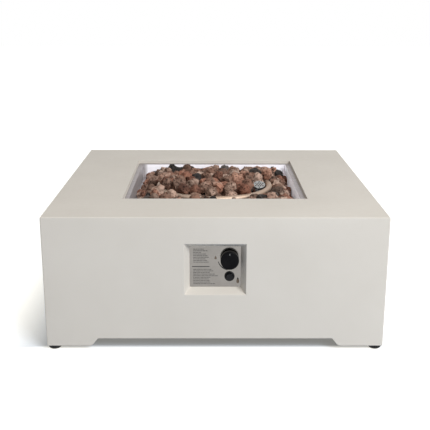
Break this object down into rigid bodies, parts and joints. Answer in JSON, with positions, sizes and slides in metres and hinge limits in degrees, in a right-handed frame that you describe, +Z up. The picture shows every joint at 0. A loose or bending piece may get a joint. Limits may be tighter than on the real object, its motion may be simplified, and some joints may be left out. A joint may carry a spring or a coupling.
{
  "type": "gas fire pit table",
  "caption": "Square low cast table with a sunken gas burner pan of lava rock, a control recess with knob and push igniter, and levelling feet.",
  "frame": {"origin": "on the floor, under the centre of the table", "axes": "+Z up, the control recess faces -Y, +X to the right as seen from the front"},
  "size_m": [0.9, 0.9, 0.3886],
  "materials": {
    "cast_shell": "matte cream cast cement, lightly mottled",
    "zinc_steel": "zinc plated",
    "foot_plastic": "black moulded plastic",
    "stainless": "bright stainless sheet",
    "burner_steel": "stainless tube, straw heat tint",
    "panel_steel": "satin stainless sheet",
    "galvanised": "galvanised sheet",
    "brass": "turned brass",
    "cast_mixer": "plain casting",
    "aluminium_tube": "drawn tube",
    "spring_steel": "bright steel",
    "copper": "plain copper",
    "ceramic": "unglazed white ceramic",
    "silicone": "red silicone sleeve",
    "rubber": "black rubber",
    "knob_black": "black moulded plastic, satin gloss",
    "mark_white": "white filled mark",
    "igniter_black": "black moulded plastic",
    "battery": "plain printed can",
    "lava_brown": "rough porous lava, brown grey",
    "lava_rust": "rough porous lava, rust red",
    "lava_charcoal": "rough porous lava, charcoal"
  },
  "bodies": {
    "root": {"body_shell": "cast_shell", "recess_frame": "cast_shell", "foot_inserts": "zinc_steel", "ring_brackets": "zinc_steel", "bracket_rivets": "zinc_steel", "pilot_bracket": "zinc_steel", "lead_clip": "zinc_steel", "plate_screws": "zinc_steel", "bonnet_screws": "zinc_steel", "igniter_nut": "zinc_steel", "burner_pan": "stainless", "pan_screws": "stainless", "pilot_hood": "stainless", "thermocouple": "stainless", "burner_ring": "burner_steel", "control_plate": "panel_steel", "control_box": "galvanised", "lock_nuts": "brass", "gas_jet": "brass", "tube_nuts": "brass", "valve_body": "brass", "valve_bonnet": "brass", "gas_inlet": "brass", "air_mixer": "cast_mixer", "gas_tube": "aluminium_tube", "igniter_spring": "spring_steel", "electrode_wire": "spring_steel", "igniter_terminal": "spring_steel", "safety_magnet": "copper", "thermocouple_lead": "copper", "electrode_ceramic": "ceramic", "ignition_lead": "silicone", "lead_grommet": "rubber", "igniter_body": "igniter_black", "igniter_battery": "battery", "lava_rocks_brown": "lava_brown", "lava_rocks_rust": "lava_rust", "lava_rocks_charcoal": "lava_charcoal"},
    "plug": {"valve_plug": "spring_steel", "stem_spring": "spring_steel"},
    "knob": {"control_knob": "knob_black", "knob_pointer": "mark_white", "valve_stem": "spring_steel"},
    "button": {"igniter_button": "igniter_black"},
    "foot_fl": {"foot_pad_fl": "foot_plastic"},
    "stud_fl": {"foot_stud_fl": "zinc_steel"},
    "foot_fr": {"foot_pad_fr": "foot_plastic"},
    "stud_fr": {"foot_stud_fr": "zinc_steel"},
    "foot_rl": {"foot_pad_rl": "foot_plastic"},
    "stud_rl": {"foot_stud_rl": "zinc_steel"},
    "foot_rr": {"foot_pad_rr": "foot_plastic"},
    "stud_rr": {"foot_stud_rr": "zinc_steel"}
  },
  "joints": [
    {"name": "foot_fl_lift", "type": "slide", "parent": "root", "child": "foot_fl", "axis": [0, 0, -1], "range_m": [0, 0.012]},
    {"name": "foot_fl_turn", "type": "hinge", "parent": "foot_fl", "child": "stud_fl", "pos_m": [-0.4315, -0.4315, 0.03], "axis": [0, 0, -1], "range_deg": [0, 2888]},
    {"name": "foot_fr_lift", "type": "slide", "parent": "root", "child": "foot_fr", "axis": [0, 0, -1], "range_m": [0, 0.012]},
    {"name": "foot_fr_turn", "type": "hinge", "parent": "foot_fr", "child": "stud_fr", "pos_m": [0.4315, -0.4315, 0.03], "axis": [0, 0, -1], "range_deg": [0, 2888]},
    {"name": "foot_rl_lift", "type": "slide", "parent": "root", "child": "foot_rl", "axis": [0, 0, -1], "range_m": [0, 0.012]},
    {"name": "foot_rl_turn", "type": "hinge", "parent": "foot_rl", "child": "stud_rl", "pos_m": [-0.4315, 0.4315, 0.03], "axis": [0, 0, -1], "range_deg": [0, 2888]},
    {"name": "foot_rr_lift", "type": "slide", "parent": "root", "child": "foot_rr", "axis": [0, 0, -1], "range_m": [0, 0.012]},
    {"name": "foot_rr_turn", "type": "hinge", "parent": "foot_rr", "child": "stud_rr", "pos_m": [0.4315, 0.4315, 0.03], "axis": [0, 0, -1], "range_deg": [0, 2888]},
    {"name": "knob_turn", "type": "hinge", "parent": "root", "child": "plug", "pos_m": [0.038, -0.4, 0.25], "axis": [0, -1, 0], "range_deg": [0, 150]},
    {"name": "knob_press", "type": "slide", "parent": "plug", "child": "knob", "axis": [0, 1, 0], "range_m": [0, 0.004], "stiffness_N_per_m": 800, "springref_m": -0.004, "deforming": ["stem_spring"]},
    {"name": "igniter_press", "type": "slide", "parent": "root", "child": "button", "axis": [0, 1, 0], "range_m": [0, 0.004], "stiffness_N_per_m": 500, "springref_m": -0.004, "deforming": ["igniter_spring"]}
  ],
  "couplings": [
    {"joint": "foot_fl_turn", "follows": "foot_fl_lift", "rad_per_m": 4188.8},
    {"joint": "foot_fr_turn", "follows": "foot_fr_lift", "rad_per_m": 4188.8},
    {"joint": "foot_rl_turn", "follows": "foot_rl_lift", "rad_per_m": 4188.8},
    {"joint": "foot_rr_turn", "follows": "foot_rr_lift", "rad_per_m": 4188.8}
  ]
}
